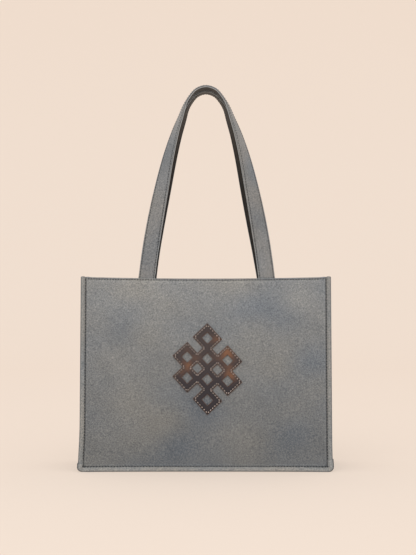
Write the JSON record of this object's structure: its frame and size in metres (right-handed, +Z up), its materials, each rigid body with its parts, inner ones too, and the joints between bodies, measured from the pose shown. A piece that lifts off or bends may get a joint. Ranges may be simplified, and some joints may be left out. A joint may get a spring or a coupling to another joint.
{
  "type": "suede tote bag",
  "caption": "Free-standing suede tote bag with an open top, tapered gussets, bound edges, long handles and a leather endless knot on its front.",
  "frame": {"origin": "on the surface that the bag stands on, below the middle of its base", "axes": "+Z up, +X to the right of someone who faces the front with the knot, which looks towards -Y"},
  "size_m": [0.3882, 0.115, 0.5856],
  "materials": {
    "suede": "napped suede, matte",
    "binding": "napped suede, matte",
    "handle_backing": "dark smooth leather, matte",
    "knot_leather": "oiled brown leather, satin"
  },
  "bodies": {
    "root": {"front_panel": "suede", "back_panel": "suede", "left_gusset": "suede", "right_gusset": "suede", "base_panel": "suede", "front_left_binding": "binding", "front_right_binding": "binding", "front_bottom_binding": "binding", "back_left_binding": "binding", "back_right_binding": "binding", "back_bottom_binding": "binding", "front_handle": "suede", "back_handle": "suede", "front_handle_backing": "handle_backing", "back_handle_backing": "handle_backing", "knot_applique": "knot_leather"}
  },
  "joints": []
}
